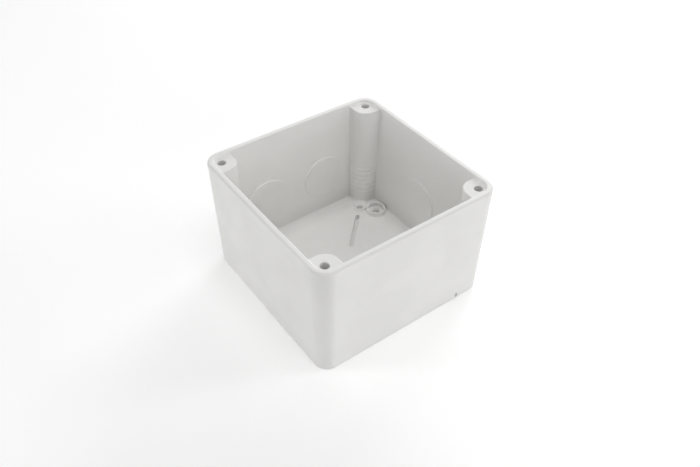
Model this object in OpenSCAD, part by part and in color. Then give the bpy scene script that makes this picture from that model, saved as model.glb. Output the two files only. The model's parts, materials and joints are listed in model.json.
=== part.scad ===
// Open-topped moulded junction box: a square base with four corner screw posts,
// a slotted floor for fixing it to a wall, and six round conduit entries that are
// each closed by a blank until the installer takes it out.
//
// Frame: millimetres, +Z up, origin at the middle of the underside.
// +Y is the back wall, -Y the front wall, -X the left wall and +X the right wall.

/* [Box] */
// Outside width across the rim
box_w = 101; // [84:1:140]
// Outside depth across the rim
box_d = 101; // [84:1:140]
// Height from the underside to the rim
box_h = 64; // [50:1:90]
// Outside corner radius at the rim
corner_r = 8.5; // [7:0.5:11]
// Wall thickness at the rim
wall_t = 3; // [2.4:0.1:3.6]
// Floor thickness
floor_t = 3; // [2.4:0.1:4]
// How far each outside face leans in, from rim to underside
outer_lean = 1.4; // [0:0.1:1.8]
// How far each inside face leans in, from rim to floor
inner_lean = 2.2; // [1:0.1:2.7]
// Rounding of the rim's outside edge
rim_round = 1; // [0.2:0.1:1.3]
// Rounding of the rim's inside edge
lip_round = 0.5; // [0.2:0.1:0.8]
// Rounding round the underside
base_round = 1; // [0.2:0.1:1.5]

/* [Cover screw posts] */
// Distance from the outside faces to the middle of each cover screw
screw_inset = 7.25; // [6.5:0.25:9]
// Diameter of the hole that a cover screw cuts its thread in
screw_hole_d = 4.2; // [3:0.1:5]
// Depth of that hole
screw_hole_depth = 30; // [20:1:40]
// Radius of each post at its top
post_r = 7.1; // [6:0.1:7.5]
// How much wider a post's radius is at the floor
post_draft = 1.2; // [0.2:0.1:1.2]
// How far the post tops lie below the rim
post_drop = 1.5; // [0.5:0.1:3]
// Number of raised rings round the foot of each post
ring_count = 6; // [0:1:8]
// Height of the lowest ring above the floor
ring_low = 7.2; // [4:0.1:10]
// Distance from ring to ring
ring_pitch = 3.1; // [2:0.1:4]
// How far a ring stands out of its post
ring_out = 0.25; // [0.1:0.05:0.5]
// Height of one ring
ring_h = 0.6; // [0.3:0.1:1.2]

/* [Conduit entries] */
// Diameter of a blank
entry_d = 25.5; // [20:0.5:27]
// Height of an entry's middle above the underside
entry_z = 24.5; // [22:0.5:30]
// Distance from middle to middle of the two entries in the front and back walls
entry_pitch = 36; // [30:0.5:40]
// Clearance all round a blank in its entry
blank_gap = 0.08; // [0.05:0.01:0.1]

/* [Floor] */
// Width of the raised ledge along the walls, at floor level
ledge_w = 4.3; // [3:0.1:6]
// Height of the ledge
ledge_h = 0.4; // [0.2:0.1:0.8]
// Width of each diagonal slot
slot_w = 2.2; // [1.8:0.1:3]
// Length of each diagonal slot, end to end
slot_len = 26.6; // [20:0.1:30]
// Length of the open part, at the outer end of a slot
slot_open_len = 3.2; // [2.8:0.1:8]
// Thickness of the web that closes the rest of a slot
slot_web = 0.8; // [0.6:0.1:2]
// Distance from a cover screw to the outer end of its slot, along the diagonal
slot_from_post = 19.9; // [18:0.1:24]
// Diameter of the four corner fixing holes
fixing_hole_d = 3.6; // [3:0.1:4.5]
// Outside diameter of the boss round a corner fixing hole
fixing_boss_d = 8.8; // [7.6:0.1:8.8]
// Height of that boss above the floor
fixing_boss_h = 1.1; // [0.6:0.1:2]
// Distance in X and in Y from a cover screw to its corner fixing hole
fixing_offset = 8.75; // [8.6:0.05:9.5]
// Diameter of the hole in each screw well
well_hole_d = 4.4; // [3.6:0.1:5.2]
// Outside diameter of a screw well
well_d = 10.8; // [9.5:0.1:11]
// Inside diameter of a screw well
well_bore_d = 8.8; // [7.6:0.1:9]
// Height of a screw well above the floor
well_h = 2.8; // [1.5:0.1:5]
// Distance from a cover screw to its screw well, along the nearer wall's normal
well_offset_x = 3.85; // [3.5:0.05:4.5]
// Distance from a cover screw to its screw well, along the nearer wall
well_offset_y = 17.45; // [17.4:0.05:22]
// Diameter of the shallow round marks that the ejector pins leave
pin_mark_d = 8.8; // [6:0.1:10]

/* [Bottom edge nick] */
// Distance from the middle of the front wall to the slit in its bottom edge
nick_x = 32.5; // [20:0.1:34]
// Width of the slit
nick_w = 1.3; // [0.5:0.1:1.5]
// Height of the slit
nick_h = 3.8; // [2:0.1:4]
// Width of the shallow relief beside the slit
nick_relief_w = 5.8; // [3:0.1:8]

/* [Hidden] */
$fn = 96;

body_grey = [0.87, 0.865, 0.855];
blank_grey = [0.85, 0.845, 0.835];

over = 1;             // how far a cutter reaches past the face that it cuts
embed = 0.5;          // how far a feature is rooted in the floor or wall under it
outer_slope = outer_lean / box_h;
inner_slope = inner_lean / (box_h - floor_t);
outer_tilt = atan(outer_slope);
inner_tilt = atan(inner_slope);

post_x = box_w / 2 - screw_inset;
post_y = box_d / 2 - screw_inset;
post_top = box_h - post_drop;
root_inset = outer_lean + base_round;      // rim outline less this stays inside the walls all the way down
ledge_inset = wall_t + inner_lean + ledge_w;
boss_wall = 0.8;                           // thickness of a boss's edge round its dished middle
mouth_t = 0.7;                             // how much wider a countersunk mouth is than its hole's radius
mouth_h = 0.7;
pin_mark_depth = 0.15;
pin_mark_x = 17.75;                        // from the cover screw, towards the middle
pin_mark_y = 7.75;
nick_depth = 2.6;
nick_relief_h = 0.6;
nick_relief_depth = 1.5;

// The blanks: node name, turn of the wall about Z from the back wall, place along that wall
BLANKS = [
    ["blank_back_right", 0, -entry_pitch / 2],
    ["blank_back_left", 0, entry_pitch / 2],
    ["blank_left", 90, 0],
    ["blank_front_left", 180, -entry_pitch / 2],
    ["blank_front_right", 180, entry_pitch / 2],
    ["blank_right", 270, 0]
];

// Walls are drawn as a section: x runs outwards from a corner's axis, y runs up.
// Outside and inside faces of the section at height z
function out_x(z) = corner_r - (box_h - z) * outer_slope;
function in_x(z) = corner_r - wall_t - (box_h - z) * inner_slope;

// Distance from the box's middle to a wall's corner axis, for a wall turned by 0 or 180, or by 90 or 270
function axis_out(turn) = (turn % 180 == 0 ? box_d : box_w) / 2 - corner_r;
function axis_along(turn) = (turn % 180 == 0 ? box_w : box_d) / 2 - corner_r;

// A disc that rounds the section's edge: its middle, at height z, touches the leaning face
function out_round_x(z, r) = out_x(z) - r / cos(outer_tilt);
function in_round_x(z, r) = in_x(z) + r / cos(inner_tilt);

module wall_section(solid = false) {
    top_out = [out_round_x(box_h - rim_round, rim_round), box_h - rim_round];
    top_in = [in_round_x(box_h - lip_round, lip_round), box_h - lip_round];
    foot = [out_round_x(base_round, base_round), base_round];
    out_normal = [cos(outer_tilt), -sin(outer_tilt)];
    in_normal = [-cos(inner_tilt), sin(inner_tilt)];
    outside = [
        [foot.x, 0], foot + base_round * out_normal,
        top_out + rim_round * out_normal, [top_out.x, box_h]
    ];
    inside = solid
        ? [[0, box_h], [0, 0]]
        : [[top_in.x, box_h], top_in + lip_round * in_normal, [in_x(floor_t), floor_t], [in_x(floor_t), 0]];
    polygon(concat(outside, inside));
    translate(foot) circle(base_round);
    translate(top_out) circle(rim_round);
    if (!solid)
        translate(top_in) circle(lip_round);
}

// One straight wall, standing at the back before it is turned
module wall_run(turn, solid = false) {
    along = axis_along(turn);
    rotate(turn) translate([-along, axis_out(turn), 0])
        rotate([90, 0, 90]) linear_extrude(2 * along) wall_section(solid);
}

module wall_ring() {
    for (turn = [0:90:270]) {
        wall_run(turn);
        rotate(turn) translate([axis_along(turn), axis_out(turn), 0])
            rotate_extrude(angle = 90) wall_section();
    }
}

// The rim's outline, drawn in by inset
module outline(inset) {
    r = corner_r - inset;
    x = box_w / 2 - corner_r;
    y = box_d / 2 - corner_r;
    square([2 * (x + max(r, 0)), 2 * (y + min(r, 0))], center = true);
    square([2 * (x + min(r, 0)), 2 * (y + max(r, 0))], center = true);
    if (r > 0)
        for (sx = [-1, 1], sy = [-1, 1])
            translate([sx * x, sy * y]) circle(r);
}

// A copy of the children at each corner, mirrored so that they are drawn for the back right corner
module each_corner() {
    for (sx = [0, 1], sy = [0, 1])
        mirror([sx, 0, 0]) mirror([0, sy, 0]) children();
}

// Radius of a post at height z: it widens towards the floor, so that the mould lets go of it
function post_radius(z) = post_r + (post_top - z) * post_draft / (post_top - floor_t);

// Half of a post: its face towards one wall slopes from radius low_r at its foot to high_r at its top
module post_leg(low_r, high_r, h) {
    reach = 2 * screw_inset;
    translate([0, reach, 0]) rotate([90, 0, 0]) linear_extrude(reach)
        polygon([[-low_r, 0], [reach, 0], [reach, h], [-high_r, h]]);
}

// A stretch of post from height z: round towards the middle of the box, straight to the two walls
module post_stretch(z, h, out = 0) {
    low_r = post_radius(z) + out;
    high_r = post_radius(z + h) + out;
    intersection() {
        translate([post_x, post_y, z]) {
            cylinder(r1 = low_r, r2 = high_r, h = h);
            post_leg(low_r, high_r, h);
            mirror([1, -1, 0]) post_leg(low_r, high_r, h);
        }
        translate([0, 0, z - over]) linear_extrude(h + 2 * over) outline(root_inset);
    }
}

module posts() {
    each_corner() {
        post_stretch(floor_t - embed, post_top - floor_t + embed);
        for (i = [0:1:ring_count - 1])
            post_stretch(floor_t + ring_low + i * ring_pitch, ring_h, ring_out);
    }
}

module post_holes() {
    each_corner() translate([post_x, post_y, post_top - screw_hole_depth])
        cylinder(d = screw_hole_d, h = screw_hole_depth + over);
}

module floor_plate() {
    linear_extrude(floor_t) outline(wall_t + inner_lean - embed);
    translate([0, 0, floor_t - embed]) linear_extrude(ledge_h + embed) difference() {
        outline(root_inset);
        outline(ledge_inset);
    }
}

module at_fixing() {
    each_corner() translate([post_x - fixing_offset, post_y - fixing_offset, 0]) children();
}

// The wells are in two opposite corners, so that two screws hold the box
module at_well() {
    for (turn = [0, 180])
        rotate(turn) translate([post_x - well_offset_x, post_y - well_offset_y, 0]) children();
}

module floor_bosses() {
    at_fixing() translate([0, 0, floor_t - embed]) cylinder(d = fixing_boss_d, h = fixing_boss_h + embed);
    at_well() translate([0, 0, floor_t - embed]) cylinder(d = well_d, h = well_h + embed);
}

// The countersunk mouth of a hole in the floor
module hole_mouth(hole_d) {
    translate([0, 0, floor_t - mouth_h])
        cylinder(d1 = hole_d, d2 = hole_d + 2 * mouth_t, h = mouth_h);
}

// A fixing boss is dished from its edge down to its hole, and a well is bored down to the floor
module floor_recesses() {
    at_fixing() {
        translate([0, 0, floor_t])
            cylinder(d1 = fixing_hole_d + 2 * mouth_t, d2 = fixing_boss_d - 2 * boss_wall, h = fixing_boss_h);
        hole_mouth(fixing_hole_d);
    }
    at_well() {
        translate([0, 0, floor_t]) cylinder(d = well_bore_d, h = well_h + over);
        hole_mouth(well_hole_d);
    }
}

module floor_holes() {
    through = floor_t + well_h + 2 * over;
    at_fixing() translate([0, 0, -over]) cylinder(d = fixing_hole_d, h = through);
    at_well() translate([0, 0, -over]) cylinder(d = well_hole_d, h = through);
}

module slot_section(length) {
    end = slot_w / 2;
    translate([-length + end, -end]) square([length - slot_w, slot_w]);
    for (x = [-end, -length + end])
        translate([x, 0]) circle(end);
}

module floor_slots() {
    each_corner() translate([post_x, post_y, 0]) rotate(45) translate([-slot_from_post, 0, 0]) {
        translate([0, 0, slot_web]) linear_extrude(floor_t - slot_web + over) slot_section(slot_len);
        translate([0, 0, -over]) linear_extrude(floor_t + 2 * over) slot_section(slot_open_len);
    }
}

module pin_marks() {
    each_corner() translate([post_x - pin_mark_x, post_y - pin_mark_y, floor_t - pin_mark_depth])
        cylinder(d = pin_mark_d, h = over);
}

// A slit up the bottom edge of the front wall, with a shallow relief on its left
module bottom_nick() {
    face = box_d / 2 - outer_lean;
    translate([nick_x - nick_w / 2, -face - over, -over])
        cube([nick_w, nick_depth + over, nick_h + over]);
    translate([nick_x - nick_relief_w, -face - over, -over])
        cube([nick_relief_w, nick_relief_depth + over, nick_relief_h + over]);
}

// Inner face of every blank: upright, and flush with the leaning wall at the entry's lowest point
function blank_inner(turn) = axis_out(turn) + in_x(entry_z - entry_d / 2);

module entry_rod(turn, along, d) {
    rotate(turn) translate([-along, blank_inner(turn), entry_z])
        rotate([-90, 0, 0]) cylinder(d = d, h = 3 * wall_t);
}

module entries() {
    for (b = BLANKS)
        entry_rod(b[1], b[2], entry_d + 2 * blank_gap);
}

module box_base() {
    color(body_grey) difference() {
        union() {
            wall_ring();
            floor_plate();
            posts();
            floor_bosses();
        }
        entries();
        post_holes();
        floor_recesses();
        floor_holes();
        floor_slots();
        pin_marks();
        bottom_nick();
    }
}

// A round of the wall's own plastic: flat upright pad inside, flush with the wall outside
module entry_blank(turn, along) {
    color(blank_grey) intersection() {
        entry_rod(turn, along, entry_d);
        wall_run(turn, solid = true);
    }
}

box_base();
for (b = BLANKS)
    entry_blank(b[1], b[2]);
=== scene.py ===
import json
import math

import bpy
import numpy as np
from mathutils import Matrix, Vector


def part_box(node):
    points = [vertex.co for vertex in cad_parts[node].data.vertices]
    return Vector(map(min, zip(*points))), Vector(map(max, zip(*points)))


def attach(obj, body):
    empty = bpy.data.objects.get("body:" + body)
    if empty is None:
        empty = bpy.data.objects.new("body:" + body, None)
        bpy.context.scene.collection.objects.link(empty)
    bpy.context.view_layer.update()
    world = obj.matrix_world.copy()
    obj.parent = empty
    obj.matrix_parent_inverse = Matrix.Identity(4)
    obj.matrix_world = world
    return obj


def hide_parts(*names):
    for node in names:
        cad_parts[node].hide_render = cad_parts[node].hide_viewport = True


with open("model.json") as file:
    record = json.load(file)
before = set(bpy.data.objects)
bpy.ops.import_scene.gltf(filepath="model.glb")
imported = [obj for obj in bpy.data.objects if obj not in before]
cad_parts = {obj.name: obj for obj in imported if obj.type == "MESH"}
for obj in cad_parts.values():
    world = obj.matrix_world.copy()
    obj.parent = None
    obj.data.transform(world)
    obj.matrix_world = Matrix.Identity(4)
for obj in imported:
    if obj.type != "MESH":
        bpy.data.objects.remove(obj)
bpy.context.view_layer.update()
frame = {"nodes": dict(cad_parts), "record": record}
MM = 0.001

# ---------------------------------------------------------------------------
# Camera. It looks down into the open box from above its front left corner, so
# that the front and left walls, the floor and two inner walls all show.
# ---------------------------------------------------------------------------
camera_azimuth = math.radians(-36.81)
camera_elevation = math.radians(42.15)
camera_roll = math.radians(0.71)
camera_distance = 359.39 * MM
camera_target = Vector((-1.75, -4.82, 30.0)) * MM      # the point in the middle of the view

back = Vector((
    math.sin(camera_azimuth) * math.cos(camera_elevation),
    -math.cos(camera_azimuth) * math.cos(camera_elevation),
    math.sin(camera_elevation),
))
level = Vector((math.cos(camera_azimuth), math.sin(camera_azimuth), 0.0))
upright = back.cross(level)
sideways = level * math.cos(camera_roll) + upright * math.sin(camera_roll)
upwards = back.cross(sideways)
turn = Matrix((sideways, upwards, back)).transposed()

camera = bpy.data.objects.new("camera", bpy.data.cameras.new("camera"))
camera.data.sensor_width = 36.0     # millimetres
camera.data.lens = 37.25            # millimetres
camera.data.clip_start = 0.01
camera.matrix_world = Matrix.Translation(camera_target + back * camera_distance) @ turn.to_4x4()
bpy.context.scene.collection.objects.link(camera)
bpy.context.scene.camera = camera

# ---------------------------------------------------------------------------
# Studio. A white sweep that glows faintly, as on a light table, and soft boxes
# one metre away all round. Most of the light comes from the right and back
# right, over the far walls, so that each wall has its own tone.
# ---------------------------------------------------------------------------
BACKDROP_WHITE = (0.97, 0.97, 0.97, 1.0)
FLOOR_WHITE = (0.93, 0.93, 0.93, 1.0)
floor_reach = 0.9                   # metres, from the middle to the sweep's edge
floor_glow = 0.2
glow_gap = 44 * MM                  # no glow under the box, or it would come up through the holes


def add_node(tree, kind, **values):
    """A node of one kind, with its plain properties and its unlinked inputs set by name."""
    node = tree.nodes.new(kind)
    for key, value in values.items():
        if key in node.inputs:
            node.inputs[key].default_value = value
        else:
            setattr(node, key, value)
    return node


def link_all(tree, links):
    """Links each output in links to the input beside it."""
    for output, entry in links:
        tree.links.new(output, entry)


bpy.context.scene.view_settings.view_transform = "Standard"

world = bpy.data.worlds.new("surround")
world.use_nodes = True
backdrop = world.node_tree.nodes["Background"]
backdrop.inputs["Color"].default_value = BACKDROP_WHITE
seen_only = add_node(world.node_tree, "ShaderNodeLightPath")      # the backdrop itself lights nothing
world.node_tree.links.new(seen_only.outputs["Is Camera Ray"], backdrop.inputs["Strength"])
bpy.context.scene.world = world

light_aim = Vector((0.0, 0.0, 0.03))        # near the middle of the box
light_distance = 1.0
SOFT_BOXES = {
    # name: azimuth from +X and elevation (degrees), width and height (metres), power (watts)
    "light_right_back": (30, 18, 0.5, 0.5, 4.96),
    "light_back_right": (60, 18, 0.5, 0.5, 1.73),
    "light_low_back_left": (120, 6, 0.3, 0.15, 1.03),
    "light_left_back": (150, 18, 0.25, 0.5, 2.18),
    "light_front_left": (240, 18, 0.5, 0.5, 1.02),
    "light_front": (270, 18, 0.5, 0.5, 1.44),
    "light_right_front": (330, 18, 0.25, 0.5, 1.81),
    "light_high_back_left": (143, 50, 0.5, 0.5, 0.54),
    "light_high_front_right": (323, 50, 0.5, 0.5, 1.15),
    "light_steep_left": (180, 70, 0.4, 0.4, 1.06),
    "light_steep_front": (270, 70, 0.4, 0.4, 1.79),
    "light_overhead": (0, 90, 0.5, 0.5, 0.90),
}
for name, (azimuth, elevation, width, height, power) in SOFT_BOXES.items():
    lamp = bpy.data.lights.new(name, "AREA")
    lamp.shape = "RECTANGLE"
    lamp.size = width
    lamp.size_y = height
    lamp.energy = power
    around, up = math.radians(azimuth), math.radians(elevation)
    towards = Vector((math.cos(around) * math.cos(up), math.sin(around) * math.cos(up), math.sin(up)))
    holder = bpy.data.objects.new(name, lamp)
    holder.location = light_aim + towards * light_distance
    holder.rotation_euler = towards.to_track_quat("Z", "Y").to_euler()
    bpy.context.scene.collection.objects.link(holder)

floor_mesh = bpy.data.meshes.new("studio_floor")
corners = floor_reach * np.array([[-1, -1, 0], [1, -1, 0], [1, 1, 0], [-1, 1, 0]], float)
floor_mesh.from_pydata(corners.tolist(), [], [[0, 1, 2, 3]])
studio_floor = bpy.data.objects.new("studio_floor", floor_mesh)
bpy.context.scene.collection.objects.link(studio_floor)

floor_paint = bpy.data.materials.new("studio_white")
floor_paint.use_nodes = True
paint = floor_paint.node_tree
floor_shader = paint.nodes["Principled BSDF"]
floor_shader.inputs["Base Color"].default_value = FLOOR_WHITE
floor_shader.inputs["Roughness"].default_value = 0.9
floor_shader.inputs["Emission Strength"].default_value = floor_glow
floor_place = add_node(paint, "ShaderNodeTexCoord")
floor_abs = add_node(paint, "ShaderNodeVectorMath", operation="ABSOLUTE")
floor_axes = add_node(paint, "ShaderNodeSeparateXYZ")
floor_square = add_node(paint, "ShaderNodeMath", operation="MAXIMUM")
floor_beyond = add_node(paint, "ShaderNodeMath", operation="GREATER_THAN")
floor_beyond.inputs[1].default_value = glow_gap
link_all(paint, (
    (floor_place.outputs["Object"], floor_abs.inputs[0]),
    (floor_abs.outputs["Vector"], floor_axes.inputs["Vector"]),
    (floor_axes.outputs["X"], floor_square.inputs[0]),
    (floor_axes.outputs["Y"], floor_square.inputs[1]),
    (floor_square.outputs["Value"], floor_beyond.inputs[0]),
    (floor_beyond.outputs["Value"], floor_shader.inputs["Emission Color"]),
))
floor_mesh.materials.append(floor_paint)

# ---------------------------------------------------------------------------
# Box moulding. The real box is one shot of light grey plastic: four leaning
# walls and a floor with a raised ledge round it, pulled straight off a core.
# Its shell is one skin, from the underside up over the rim and down inside.
# From here down to the plastic, sizes are in millimetres.
# ---------------------------------------------------------------------------
_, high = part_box("box_base")
rim_z = high.z / MM
floor_z = 3.0                       # top of the floor
rim_half = high.x / MM
rim_round = 1.0                     # radius along the rim's outside edge
lip_round = 0.5                     # radius along its inside edge
base_round = 1.0                    # radius round the underside
corner_r = 8.5                      # outside corners at the rim
wall_t = 3.0                        # at the rim
outer_lean = 1.4                    # from rim to underside
inner_lean = 2.2                    # from rim to floor
ledge_h = 0.4
ledge_inner = 41.0                  # from the middle to the ledge's inner edge
ledge_step = 0.7                    # how wide the ledge's soft edge is
ledge_drop = 0.12                   # how far that edge has come down half way across it
fillet = 0.5
sharpest = 0.02                     # smallest corner radius of a plan
root = 0.5                          # how far a joined feature reaches into the plastic behind it
beyond = 1.0                        # how far a cutter reaches past the face that it cuts

outer_slope = outer_lean / rim_z
inner_slope = inner_lean / (rim_z - floor_z)
outer_tilt = math.degrees(math.atan(outer_slope))
inner_tilt = math.degrees(math.atan(inner_slope))
ledge_z = floor_z + ledge_h
# The rim's rounding meets the leaning face a little below the rim, where the box is widest
outer_at_rim = rim_half + rim_round * (outer_slope - 1 + 1 / math.cos(math.radians(outer_tilt)))
corner_axis = outer_at_rim - corner_r


def outer_x(z):
    """Distance from the middle of the box to the outside face of a wall, at height z."""
    return outer_at_rim - (rim_z - z) * outer_slope


def inner_x(z):
    """Distance from the middle of the box to the inside face of a wall, at height z."""
    return outer_at_rim - wall_t - (rim_z - z) * inner_slope


def arc(centre, radius, start, end, steps=8):
    """Points on a circle about centre, from start to end in degrees, both included."""
    angle = np.radians(np.linspace(start, end, steps))
    return np.column_stack([centre[0] + radius * np.cos(angle), centre[1] + radius * np.sin(angle)])


def quarter_turn(k):
    """Matrix that turns plan points by k right angles, anticlockwise."""
    c, s = round(math.cos(k * math.pi / 2)), round(math.sin(k * math.pi / 2))
    return np.array([[c, -s], [s, c]], float)


def stacked(outline, profile):
    """Rings of an outline, one for each row of profile. The row's first number is given to outline,
    which answers with points in plan, and its second number is the ring's height."""
    plan = np.stack([outline(size) for size, _ in profile])
    height = np.array([z for _, z in profile])[:, None, None]
    return np.concatenate([plan, np.broadcast_to(height, plan.shape[:2] + (1,))], -1)


def placed(rings, x, y, k=0):
    """Rings moved by x and y in plan, then turned by k right angles about the middle of the box."""
    return np.concatenate([(rings[..., :2] + (x, y)) @ quarter_turn(k).T, rings[..., 2:]], -1)


def skin(name, rings):
    """A closed surface over rings, an array of rings by points by 3 in millimetres. Four-sided faces
    join each ring to the next one, and a flat face closes the first ring and the last. Rings that run
    anticlockwise seen from above, and are stacked upwards, give faces that point out."""
    count, around = rings.shape[:2]
    number = np.arange(count * around).reshape(count, around)
    lower, upper = number[:-1], number[1:]
    sides = np.stack([lower, np.roll(lower, -1, 1), np.roll(upper, -1, 1), upper], -1).reshape(-1, 4)
    mesh = bpy.data.meshes.new(name)
    ends = [number[0, ::-1].tolist(), number[-1].tolist()]
    mesh.from_pydata((rings.reshape(-1, 3) * MM).tolist(), [], sides.tolist() + ends)
    made = bpy.data.objects.new(name, mesh)
    bpy.context.scene.collection.objects.link(made)
    return made


def combine(target, operation, rings):
    """Joins the solid over rings to target (UNION), or cuts it out of target (DIFFERENCE)."""
    tool = skin("tool", rings)
    step = target.modifiers.new("combine", "BOOLEAN")
    step.operation = operation
    step.solver = "MANIFOLD"
    step.object = tool
    evaluated = target.evaluated_get(bpy.context.evaluated_depsgraph_get())
    result = bpy.data.meshes.new_from_object(evaluated)
    target.modifiers.clear()
    target.data = result
    bpy.data.objects.remove(tool)


def square_outline(half, steps=24):
    """Square plan whose sides are half away from the middle. Each corner is a quarter circle about
    the box's corner axis, so that it tightens as the square shrinks, until it is sharp."""
    radius = max(half - corner_axis, sharpest)
    quarter = arc((half - radius, half - radius), radius, 0, 90, steps)
    return np.concatenate([quarter @ quarter_turn(k).T for k in range(4)])


foot = (outer_x(base_round) - base_round, base_round)
rim_out = (outer_x(rim_z - rim_round) - rim_round, rim_z - rim_round)
rim_in = (inner_x(rim_z - lip_round) + lip_round, rim_z - lip_round)
shell_profile = np.concatenate([
    arc(foot, base_round, -90, -outer_tilt),
    arc(rim_out, rim_round, -outer_tilt, 90, 12),
    arc(rim_in, lip_round, 90, 180 - inner_tilt),
    arc((inner_x(ledge_z + fillet) - fillet, ledge_z + fillet), fillet, -inner_tilt, -90, 6),
    [(ledge_inner + ledge_step, ledge_z), (ledge_inner + ledge_step / 2, ledge_z - ledge_drop)],
    [(ledge_inner, floor_z)],
])
box = skin("moulded_box", stacked(square_outline, shell_profile))

# ---------------------------------------------------------------------------
# Cover screw posts. Each is a round column run into its corner by two straight
# legs, and it stops just below the rim. Fine raised rings circle its foot, and
# a plain pilot hole goes down it for a screw that cuts its own thread.
# ---------------------------------------------------------------------------
mounts = {mount["name"]: mount for mount in frame["record"]["mounts"]}
post_at = mounts["cover_screw_holes"]["dims"]["spacing_x_mm"] / 2
post_z = mounts["cover_screw_holes"]["pos_m"][2] / MM
pilot_r = mounts["cover_screw_holes"]["dims"]["hole_r_mm"]
pilot_depth = 30.0
post_top_r = 7.1
post_draft = 1.2                    # how much wider a post's radius is at the floor
post_limit = 48.1                   # how far out a post reaches, inside the plastic of the walls
post_soft = 0.3                     # radius of its top edge, and the width of the pilot hole's mouth
pilot_soft = 0.1                    # how far in the mouth's edge is rounded
ring_count = 6
ring_first = 7.2                    # from the floor to the lowest ring
ring_pitch = 3.1
ring_out = 0.25
ring_h = 0.6
ring_shape = ((0, 0), (ring_out, 0.2), (ring_out, 0.85), (0, 1))     # outwards, share of ring_h
ring_heights = floor_z + ring_first + ring_pitch * np.arange(ring_count)


def post_radius(z):
    """Radius of a post at height z. It widens evenly towards the floor."""
    return post_top_r + (post_z - z) * post_draft / (post_z - floor_z)


def post_outline(radius):
    """Plan of the post in the +X +Y corner: a quarter circle that faces the middle of the box, a
    straight leg along each wall, and a rounded corner inside the plastic of the walls."""
    side = post_at - radius
    return np.concatenate([
        arc((post_at, post_at), radius, 180, 270, 24),
        [(post_limit, side)],
        arc((corner_axis, corner_axis), post_limit - corner_axis, 0, 90, 12),
        [(side, post_limit)],
    ])


ring_profile = [
    (post_radius(z + share * ring_h) + out, z + share * ring_h)
    for z in ring_heights
    for out, share in ring_shape
]
post_profile = np.concatenate([
    [(post_radius(floor_z) + fillet, floor_z - root)],
    arc((post_radius(ledge_z) + fillet, ledge_z + fillet), fillet, 270, 180, 5),
    ring_profile,
    arc((post_top_r - post_soft, post_z - post_soft), post_soft, 0, 90, 5),
])
pilot_profile = [
    (pilot_r, post_z - pilot_depth), (pilot_r, post_z - post_soft),
    (pilot_r + pilot_soft, post_z - pilot_soft), (pilot_r + post_soft, post_z),
    (pilot_r + post_soft, rim_z + beyond),
]


def round_outline(radius, steps=64):
    """Circle about the origin."""
    return arc((0, 0), radius, 0, 360, steps + 1)[:-1]


for k in range(4):
    combine(box, "UNION", placed(stacked(post_outline, post_profile), 0, 0, k))
    combine(box, "DIFFERENCE", placed(stacked(round_outline, pilot_profile), post_at, post_at, k))

# ---------------------------------------------------------------------------
# Floor fixings. For the wall screws the floor has a low dished boss in each
# corner, a deeper screw well in two opposite corners, and four diagonal slots
# that stay closed by a web except at their outer end.
# ---------------------------------------------------------------------------
fixing_at = mounts["corner_fixing_holes"]["dims"]["spacing_x_mm"] / 2
fixing_hole_r = mounts["corner_fixing_holes"]["dims"]["hole_r_mm"]
well_hole_r = mounts["screw_wells"]["dims"]["hole_r_mm"]
well_x, well_y = 39.4, 25.8
well_r, well_bore, well_top = 5.4, 4.4, floor_z + 2.8
dish_r, dish_edge, dish_top = 4.4, 3.6, floor_z + 1.1
mouth = 0.7                         # how wide and how deep a hole's countersunk mouth is
dish_flat = 0.05                    # flat ring between that mouth and the dish's side
foot_soft = 0.12                    # bevel at the hole's lower end
slot_from_post = 19.9               # from a pilot hole to its slot's outer end, along the diagonal
slot_half = 1.1
slot_len = 26.6
slot_open_len = 3.2
slot_web = 0.8
slot_soft = 0.15                    # bevel round the slot's mouth
pin_mark_x, pin_mark_y = 25.5, 35.5
pin_mark_r = 4.35
pin_mark_depth = 0.15
pin_mark_flare = 0.1                # how much wider it is at the top
soft = 0.18                         # radius of the small moulded edges


def boss_profile(outside, top):
    """A round boss: up its outside from a small fillet, and over its soft top edge."""
    return np.concatenate([
        [(outside + 2 * soft, floor_z - root)],
        arc((outside + 2 * soft, floor_z + 2 * soft), 2 * soft, 270, 180, 5),
        arc((outside - soft, top - soft), soft, 0, 90, 4),
    ])


def space_profile(hole_r, foot_r, edge_r, top):
    """The space in a boss: up a through hole and its countersunk mouth, out along the floor to
    foot_r, and up to a soft edge of radius edge_r at the top."""
    return np.concatenate([
        [(hole_r + foot_soft, -beyond), (hole_r + foot_soft, 0), (hole_r, foot_soft)],
        [(hole_r, floor_z - mouth), (hole_r + mouth, floor_z), (foot_r, floor_z)],
        arc((edge_r + soft, top - soft), soft, 180, 90, 4),
        [(edge_r + soft, top + beyond)],
    ])


def slot_outline(length, half):
    """Plan of a slot with round ends, lying along -X from the origin."""
    return np.concatenate([
        arc((-half, 0), half, -90, 90, 12),
        arc((half - length, 0), half, 90, 270, 12),
    ])


def slot_rings(length, bottom, mouth_z):
    """A slot cutter with a softened mouth, turned to lie along the diagonal of the +X +Y corner."""
    rows = (
        (0, bottom), (0, mouth_z - slot_soft), (slot_soft, mouth_z), (slot_soft, mouth_z + beyond),
    )
    rings = stacked(
        lambda wider: slot_outline(length + 2 * wider, slot_half + wider) + (wider, 0), rows)
    c = math.cos(math.pi / 4)
    start = post_at - slot_from_post * c
    diagonal = np.array([[c, -c], [c, c]])
    return np.concatenate([rings[..., :2] @ diagonal.T + start, rings[..., 2:]], -1)


dish = stacked(round_outline, boss_profile(dish_r, dish_top))
dish_space = stacked(round_outline, space_profile(
    fixing_hole_r, fixing_hole_r + mouth + dish_flat, dish_edge, dish_top))
well = stacked(round_outline, boss_profile(well_r, well_top))
well_space = stacked(round_outline, space_profile(well_hole_r, well_bore, well_bore, well_top))
pin_mark = stacked(round_outline, [
    (pin_mark_r, floor_z - pin_mark_depth),
    (pin_mark_r + pin_mark_flare, floor_z + 0.03),      # just clear of the floor
    (pin_mark_r + pin_mark_flare, floor_z + beyond),
])

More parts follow.
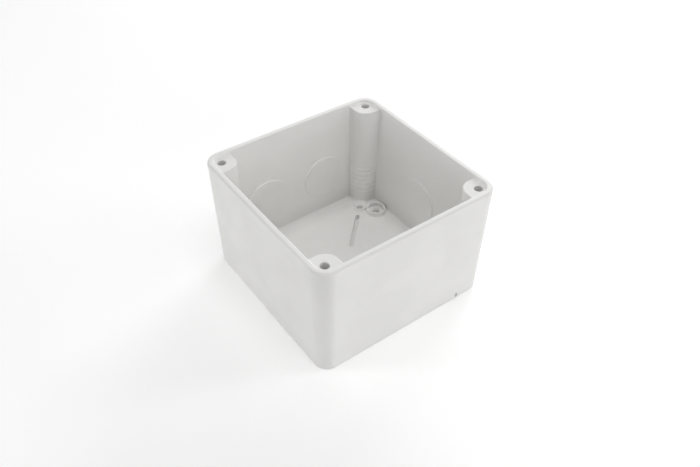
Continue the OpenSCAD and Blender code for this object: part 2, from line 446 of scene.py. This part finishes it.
for k in range(4):
    combine(box, "UNION", placed(dish, fixing_at, fixing_at, k))
    combine(box, "DIFFERENCE", placed(dish_space, fixing_at, fixing_at, k))
    combine(box, "DIFFERENCE", placed(slot_rings(slot_len, slot_web, floor_z), 0, 0, k))
    combine(box, "DIFFERENCE", placed(slot_rings(slot_open_len, -beyond, floor_z), 0, 0, k))
for k in (0, 2):
    combine(box, "UNION", placed(well, well_x, well_y, k))
    combine(box, "DIFFERENCE", placed(well_space, well_x, well_y, k))
for side_x in (-1, 1):
    for side_y in (-1, 1):
        combine(box, "DIFFERENCE", placed(pin_mark, side_x * pin_mark_x, side_y * pin_mark_y))

# ---------------------------------------------------------------------------
# Bottom edge nick. A narrow slit goes up the foot of the front wall near its
# right end, with a shallow relief beside it, both left by the mould.
# ---------------------------------------------------------------------------
nick_x = 32.5
nick_w = 1.3
nick_h = 3.8
nick_depth = 2.6
relief_w = 5.8
relief_h = 0.6
relief_depth = 1.5
front_face = outer_at_rim - outer_lean


def block(x0, x1, y0, y1, z0, z1):
    """Rings of a plain block between two corners."""
    plan = [(x0, y0), (x1, y0), (x1, y1), (x0, y1)]
    return np.array([[(x, y, z) for x, y in plan] for z in (z0, z1)], float)


for start, end, depth, top in (
    (nick_x - nick_w / 2, nick_x + nick_w / 2, nick_depth, nick_h),
    (nick_x - relief_w, nick_x, relief_depth, relief_h),
):
    combine(box, "DIFFERENCE", block(
        start, end, -front_face - beyond, -front_face + depth, -beyond, top))

# ---------------------------------------------------------------------------
# Entry blanks. Where a conduit may enter, a round of the wall's own plastic
# closes the hole until it is cut out: a flat upright pad inside, whose top edge
# stands proud of the leaning wall, and flush with the wall outside.
# ---------------------------------------------------------------------------
blank_fit = 0.01                    # hairline all round a blank
pad_soft = 0.2                      # radius of the pad's inside edge
sharp_angle = math.radians(28)      # edges that bend more than this stay sharp
WALLS = {"back": 0, "left": 1, "front": 2, "right": 3}      # right angles turned from the back wall


def into_wall(rings):
    """Rings that stood along +Z, laid along +Y so that they cross the back wall."""
    return np.stack([rings[..., 0], rings[..., 2], -rings[..., 1]], -1)


def blank_rings(radius, centre_z, inside):
    """A blank across the back wall, from its pad's flat face to a face that leans as the wall does.
    The last ring takes its distance out from the wall's own lean at each point's height."""
    rows = stacked(round_outline, np.concatenate([
        arc((radius - pad_soft, inside + pad_soft), pad_soft, -90, 0, 5),
        [(radius, 0.0)],
    ]))
    rings = into_wall(rows)
    rings[..., 2] += centre_z
    rings[-1, :, 1] = outer_x(rings[-1, :, 2])
    return rings


plastic_users = [box]
for node in sorted(frame["nodes"]):
    if node == "box_base":
        continue
    blank_low, blank_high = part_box(node)
    k = WALLS[node.split("_")[1]]
    middle = np.array((blank_low + blank_high) / 2) / MM
    along = middle[:2] @ quarter_turn(k)          # the blank's place if its wall were the back one
    radius = (blank_high.z - blank_low.z) / MM / 2
    inside = inner_x(middle[2] - radius)
    hole_r = radius + blank_fit
    hole = into_wall(stacked(round_outline, [(hole_r, inside), (hole_r, rim_half + beyond)]))
    hole[..., 2] += middle[2]
    combine(box, "DIFFERENCE", placed(hole, along[0], 0, k))
    blank = skin("entry_" + node, placed(blank_rings(radius, middle[2], inside), along[0], 0, k))
    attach(blank, node)
    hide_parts(node)
    plastic_users.append(blank)

for piece in plastic_users:
    piece.data.shade_smooth()
    piece.data.set_sharp_from_angle(angle=sharp_angle)
    even = piece.modifiers.new("even_shading", "WEIGHTED_NORMAL")
    even.keep_sharp = True
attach(box, "base")
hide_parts("box_base")

# ---------------------------------------------------------------------------
# Plastic. One warm light grey compound for the box and its blanks. The cavity
# side of the mould is polished, so the outside has a soft cloudy gloss, and the
# core side is duller and faintly drawn, from the box being pulled off it. The
# core side's grey is made lighter as painted light, and the creases carry painted shade.
# ---------------------------------------------------------------------------
PLASTIC_GREY = (0.82, 0.816, 0.803, 1.0)
LIGHTENED_INSIDE_GREY = (0.88, 0.876, 0.862, 1.0)      # painted light: the core side gets a lighter grey than the compound, so the inside reads brighter
tone_swing = 0.015                          # how far the clouds and the speckle each change the tone
line_gloss = 0.35                           # how far the drawn lines change the gloss, at full share
underside_band = 0.4                        # the underside has the outside's finish up to here


def effect_group(name, inputs, outputs):
    """An empty shader node group: its tree, its input node and its output node. Inputs map a
    socket's name to its kind and its usual value, and outputs map a name to a kind."""
    tree = bpy.data.node_groups.new(name, "ShaderNodeTree")
    for socket_name, (kind, value) in inputs.items():
        tree.interface.new_socket(socket_name, in_out="INPUT", socket_type=kind).default_value = value
    for socket_name, kind in outputs.items():
        tree.interface.new_socket(socket_name, in_out="OUTPUT", socket_type=kind)
    return tree, tree.nodes.new("NodeGroupInput"), tree.nodes.new("NodeGroupOutput")


FLOAT, COLOUR, VECTOR = "NodeSocketFloat", "NodeSocketColor", "NodeSocketVector"

# Flow clouds: soft patches a few centimetres wide where the melt cooled at a different rate,
# as a value from 0 to 1
clouds, clouds_in, clouds_out = effect_group(
    "flow_clouds", {"Vector": (VECTOR, (0.0, 0.0, 0.0)), "Scale": (FLOAT, 30.0)}, {"Value": FLOAT})
cloud_noise = add_node(clouds, "ShaderNodeTexNoise", Detail=3.0, Roughness=0.45, Distortion=0.6)
cloud_range = add_node(clouds, "ShaderNodeMapRange", interpolation_type="SMOOTHSTEP")
cloud_range.inputs["From Min"].default_value = 0.35
cloud_range.inputs["From Max"].default_value = 0.68
link_all(clouds, (
    (clouds_in.outputs["Vector"], cloud_noise.inputs["Vector"]),
    (clouds_in.outputs["Scale"], cloud_noise.inputs["Scale"]),
    (cloud_noise.outputs["Fac"], cloud_range.inputs["Value"]),
    (cloud_range.outputs["Result"], clouds_out.inputs["Value"]),
))

# Mould skin: the fine grain and the long drawn lines that the steel leaves, as a height from 0 to 1
mould_skin, skin_in, skin_out = effect_group(
    "mould_skin",
    {"Vector": (VECTOR, (0.0, 0.0, 0.0)), "Grain Scale": (FLOAT, 2600.0),
     "Line Scale": (FLOAT, 900.0), "Line Share": (FLOAT, 0.3)},
    {"Height": FLOAT, "Lines": FLOAT},
)
line_stretch = (1.0, 1.0, 0.012)    # draws the noise out along the pull
grain = add_node(mould_skin, "ShaderNodeTexNoise", Detail=2.0, Roughness=0.6)
along_pull = add_node(mould_skin, "ShaderNodeMapping", Scale=line_stretch)
drawn = add_node(mould_skin, "ShaderNodeTexNoise", Detail=2.0, Roughness=0.7)
mix_lines = add_node(mould_skin, "ShaderNodeMix", data_type="FLOAT")
link_all(mould_skin, (
    (skin_in.outputs["Vector"], grain.inputs["Vector"]),
    (skin_in.outputs["Grain Scale"], grain.inputs["Scale"]),
    (skin_in.outputs["Vector"], along_pull.inputs["Vector"]),
    (along_pull.outputs["Vector"], drawn.inputs["Vector"]),
    (skin_in.outputs["Line Scale"], drawn.inputs["Scale"]),
    (skin_in.outputs["Line Share"], mix_lines.inputs[0]),
    (grain.outputs["Fac"], mix_lines.inputs[2]),
    (drawn.outputs["Fac"], mix_lines.inputs[3]),
    (mix_lines.outputs[0], skin_out.inputs["Height"]),
    (drawn.outputs["Fac"], skin_out.inputs["Lines"]),
))

# Tone and crease shade: the compound's colour, clouded and faintly speckled, and a touch darker where
# a wall meets the floor, as painted shade in the crease. The crease is a square of the given half
# width at the given height, and the painted shade clears with the distance from it.
crease, crease_in, crease_out = effect_group(
    "crease_tone",
    {"Vector": (VECTOR, (0.0, 0.0, 0.0)), "Colour": (COLOUR, PLASTIC_GREY), "Clouds": (FLOAT, 0.5),
     "Half Width": (FLOAT, 0.045), "Floor Height": (FLOAT, 0.003), "Reach": (FLOAT, 0.01),
     "Crease Tone": (FLOAT, 0.9)},
    {"Colour": COLOUR},
)
absolute = add_node(crease, "ShaderNodeVectorMath", operation="ABSOLUTE")
axes = add_node(crease, "ShaderNodeSeparateXYZ")
square = add_node(crease, "ShaderNodeMath", operation="MAXIMUM")
from_wall = add_node(crease, "ShaderNodeMath", operation="SUBTRACT")
from_floor = add_node(crease, "ShaderNodeMath", operation="SUBTRACT")
offset = add_node(crease, "ShaderNodeCombineXYZ")
distance = add_node(crease, "ShaderNodeVectorMath", operation="LENGTH")
# painted shade: darkest at the crease, clearing with the distance from it
tone = add_node(crease, "ShaderNodeMapRange", interpolation_type="SMOOTHSTEP")
speckle = add_node(crease, "ShaderNodeTexNoise", Scale=420.0, Detail=3.0, Roughness=0.6)
speckle_tone = add_node(crease, "ShaderNodeMapRange")
cloud_tone = add_node(crease, "ShaderNodeMapRange")
for uneven_tone in (speckle_tone, cloud_tone):
    uneven_tone.inputs["To Min"].default_value = 1 - tone_swing
    uneven_tone.inputs["To Max"].default_value = 1 + tone_swing
speckled = add_node(crease, "ShaderNodeMath", operation="MULTIPLY")
clouded = add_node(crease, "ShaderNodeMath", operation="MULTIPLY")
tinted = add_node(crease, "ShaderNodeVectorMath", operation="SCALE")
link_all(crease, (
    (crease_in.outputs["Vector"], absolute.inputs[0]),
    (absolute.outputs["Vector"], axes.inputs["Vector"]),
    (axes.outputs["X"], square.inputs[0]),
    (axes.outputs["Y"], square.inputs[1]),
    (crease_in.outputs["Half Width"], from_wall.inputs[0]),
    (square.outputs["Value"], from_wall.inputs[1]),
    (axes.outputs["Z"], from_floor.inputs[0]),
    (crease_in.outputs["Floor Height"], from_floor.inputs[1]),
    (from_wall.outputs["Value"], offset.inputs["X"]),
    (from_floor.outputs["Value"], offset.inputs["Y"]),
    (offset.outputs["Vector"], distance.inputs[0]),
    (distance.outputs["Value"], tone.inputs["Value"]),
    (crease_in.outputs["Reach"], tone.inputs["From Max"]),
    (crease_in.outputs["Crease Tone"], tone.inputs["To Min"]),
    (crease_in.outputs["Vector"], speckle.inputs["Vector"]),
    (speckle.outputs["Fac"], speckle_tone.inputs["Value"]),
    (crease_in.outputs["Clouds"], cloud_tone.inputs["Value"]),
    (tone.outputs["Result"], speckled.inputs[0]),
    (speckle_tone.outputs["Result"], speckled.inputs[1]),
    (speckled.outputs["Value"], clouded.inputs[0]),
    (cloud_tone.outputs["Result"], clouded.inputs[1]),
    (crease_in.outputs["Colour"], tinted.inputs[0]),
    (clouded.outputs["Value"], tinted.inputs["Scale"]),
    (tinted.outputs["Vector"], crease_out.inputs["Colour"]),
))


def plastic_finish(name, colour, cloud_scale, dull, bright, line_share, bump, crease_shade_at):
    """The compound with one side's finish: roughness runs from dull to bright through the clouds and
    the drawn lines, and the mould's skin is a bump of the given height in metres. crease_shade_at
    gives the painted crease shade's half width, height, reach and tone."""
    made = bpy.data.materials.new(name)
    made.use_nodes = True
    tree = made.node_tree
    shader = tree.nodes["Principled BSDF"]
    place = add_node(tree, "ShaderNodeTexCoord")
    cloud = add_node(tree, "ShaderNodeGroup", node_tree=clouds, Scale=cloud_scale)
    steel = add_node(tree, "ShaderNodeGroup", node_tree=mould_skin)
    steel.inputs["Line Share"].default_value = line_share
    # the compound's tone, with painted shade in its creases
    tone_and_shade = add_node(tree, "ShaderNodeGroup", node_tree=crease, Colour=colour)
    for socket_name, value in zip(("Half Width", "Floor Height", "Reach", "Crease Tone"), crease_shade_at):
        tone_and_shade.inputs[socket_name].default_value = value
    gloss = add_node(tree, "ShaderNodeMapRange")
    gloss.inputs["To Min"].default_value = dull
    gloss.inputs["To Max"].default_value = bright
    uneven = add_node(tree, "ShaderNodeMix", data_type="FLOAT")
    uneven.inputs[0].default_value = line_gloss * line_share
    relief = add_node(tree, "ShaderNodeBump", Distance=bump, Strength=1.0)
    link_all(tree, (
        *((place.outputs["Object"], group.inputs["Vector"]) for group in (cloud, steel, tone_and_shade)),
        (cloud.outputs["Value"], uneven.inputs[2]),
        (steel.outputs["Lines"], uneven.inputs[3]),
        (uneven.outputs[0], gloss.inputs["Value"]),
        (cloud.outputs["Value"], tone_and_shade.inputs["Clouds"]),
        (tone_and_shade.outputs["Colour"], shader.inputs["Base Color"]),
        (gloss.outputs["Result"], shader.inputs["Roughness"]),
        (steel.outputs["Height"], relief.inputs["Height"]),
        (relief.outputs["Normal"], shader.inputs["Normal"]),
    ))
    return made


# Both finishes darken their creases as painted shade: outside along the foot where the box stands on
# the floor, inside where the walls meet the floor.
outside_plastic = plastic_finish(
    "polished_side_plastic", PLASTIC_GREY, cloud_scale=38.0, dull=0.40, bright=0.30,
    line_share=0.0, bump=0.004 * MM, crease_shade_at=(0.049, 0.0, 0.006, 0.98),
)
inside_plastic = plastic_finish(
    "drawn_side_plastic", LIGHTENED_INSIDE_GREY, cloud_scale=30.0, dull=0.50, bright=0.38,
    line_share=0.5, bump=0.012 * MM, crease_shade_at=(0.0455, 0.003, 0.012, 0.90),
)


def faces_inside(mesh):
    """True for each face whose middle lies nearer to the middle of the box than the middle of the
    wall does at that height. The wall's middle is taken as a square with rounded corners, about
    axes half a millimetre nearer to the middle of the box than those of the outside corners."""
    middle = np.empty(3 * len(mesh.polygons))
    mesh.polygons.foreach_get("center", middle)
    x, y, z = np.abs(middle.reshape(-1, 3)).T / MM
    wall_middle = (outer_x(z) + inner_x(z)) / 2
    axis = corner_axis - 0.5
    round_part = np.hypot(np.maximum(x - axis, 0), np.maximum(y - axis, 0))
    reach = round_part + np.minimum(np.maximum(x, y), axis)
    return (reach < wall_middle) & (z > underside_band)


for piece in plastic_users:
    piece.data.materials.clear()
    piece.data.materials.append(outside_plastic)
    piece.data.materials.append(inside_plastic)
    piece.data.polygons.foreach_set("material_index", faces_inside(piece.data).astype(np.int32))
